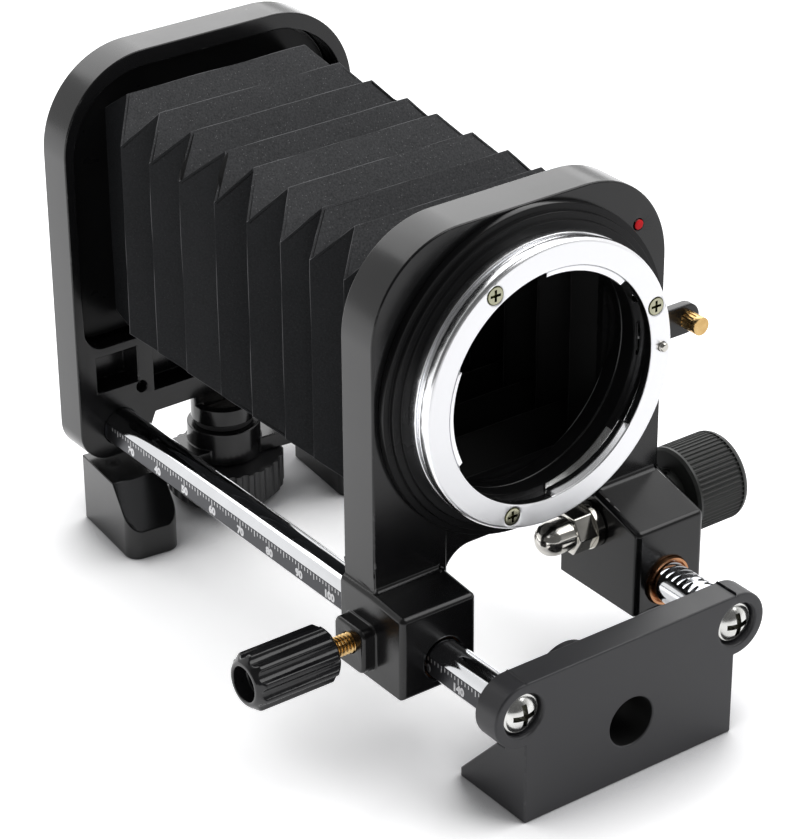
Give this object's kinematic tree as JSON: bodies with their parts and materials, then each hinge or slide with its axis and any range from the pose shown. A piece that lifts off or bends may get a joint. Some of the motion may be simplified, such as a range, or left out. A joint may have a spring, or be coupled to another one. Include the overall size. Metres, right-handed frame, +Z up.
{
  "type": "macro bellows unit",
  "caption": "Macro bellows with two rails, a sliding front standard with lens bayonet, focus and lock knobs, pleated bellows, rear camera bayonet and tripod foot.",
  "frame": {"origin": "mouth of the tripod socket, level with the table and under the front face of the rear standard", "axes": "+Z up, +Y along the rails towards the camera end, +X to the focus knob's side"},
  "size_m": [0.1106, 0.153, 0.1044],
  "materials": {
    "rail_chrome": "polished chrome plate",
    "plate_black": "satin black anodised",
    "casting_black": "semi-gloss black paint",
    "frame_black": "satin black",
    "wheel_black": "satin black moulding",
    "washer_black": "matt black fibre",
    "mount_chrome": "satin chrome plate",
    "screw_steel": "bright zinc plate",
    "screw_black": "black oxide",
    "nickel": "bright nickel plate",
    "bush_copper": "plain bronze",
    "brass": "plain turned brass",
    "knob_gloss": "gloss black moulding",
    "knob_matte": "fine ribbed matt black",
    "dot_red": "gloss red paint",
    "bellows_cloth": "matt black coated cloth"
  },
  "bodies": {
    "frame": {"rear_standard": "casting_black", "scale_rail": "rail_chrome", "rack_rail": "rail_chrome", "front_plate": "plate_black", "front_plate_screws": "screw_steel", "rod_set_screw": "screw_black", "rail_grub_screws": "screw_black", "bellows_rear_frame": "frame_black", "camera_mount": "mount_chrome", "camera_mount_screws": "screw_steel", "tripod_socket": "nickel", "tripod_socket_grub_screw": "screw_black", "bellows": "bellows_cloth"},
    "foot": {"swivel_foot": "casting_black", "swivel_washer": "washer_black"},
    "tripod_wheel": {"tripod_wheel": "wheel_black"},
    "carriage": {"front_standard": "casting_black", "scale_rail_bushes": "bush_copper", "rack_rail_bushes": "bush_copper", "mount_base": "frame_black", "mount_ring": "mount_chrome", "mount_ring_screws": "screw_steel", "bayonet_springs": "screw_steel", "index_dot": "dot_red", "bellows_front_frame": "frame_black", "focus_shaft_bushes": "bush_copper", "release_spring": "screw_steel"},
    "lens_release": {"release_arm": "frame_black", "lens_lock_pin": "nickel", "release_thumb_pin": "brass"},
    "lock_thrust": {"lock_pad": "brass"},
    "lock_knob": {"lock_knob": "knob_gloss", "lock_screw": "brass"},
    "focus_drive": {"focus_knob": "knob_matte", "focus_shaft": "nickel", "focus_pinion": "brass", "shaft_collar": "nickel", "acorn_nut": "nickel", "knob_set_screw": "screw_black"}
  },
  "joints": [
    {"name": "carriage_slide", "type": "slide", "parent": "frame", "child": "carriage", "axis": [0, -1, 0], "range_m": [-0.068, 0.0128], "deforming": ["bellows"]},
    {"name": "focus_turn", "type": "hinge", "parent": "carriage", "child": "focus_drive", "pos_m": [0.0435, -0.1005, 0.03225], "axis": [1, 0, 0], "range_deg": [-770, 150]},
    {"name": "lock_travel", "type": "slide", "parent": "carriage", "child": "lock_thrust", "axis": [1, 0, 0], "range_m": [-0.0007, 0.00035]},
    {"name": "lock_turn", "type": "hinge", "parent": "lock_thrust", "child": "lock_knob", "pos_m": [-0.05, -0.09805, 0.0253], "axis": [1, 0, 0], "range_deg": [-366, 183]},
    {"name": "release_push", "type": "slide", "parent": "carriage", "child": "lens_release", "axis": [0, 1, 0], "range_m": [0, 0.0011], "stiffness_N_per_m": 300, "springref_m": -0.003, "deforming": ["release_spring"]},
    {"name": "foot_swivel", "type": "hinge", "parent": "frame", "child": "foot", "pos_m": [0, 0, 0.0134], "axis": [0, 0, 1], "continuous": true},
    {"name": "wheel_turn", "type": "hinge", "parent": "frame", "child": "tripod_wheel", "pos_m": [0, 0, 0.005], "axis": [0, 0, 1], "range_deg": [-360, 0]}
  ],
  "couplings": [
    {"joint": "focus_turn", "follows": "carriage_slide", "rad_per_m": 190.48},
    {"joint": "lock_turn", "follows": "lock_travel", "rad_per_m": 8976}
  ]
}
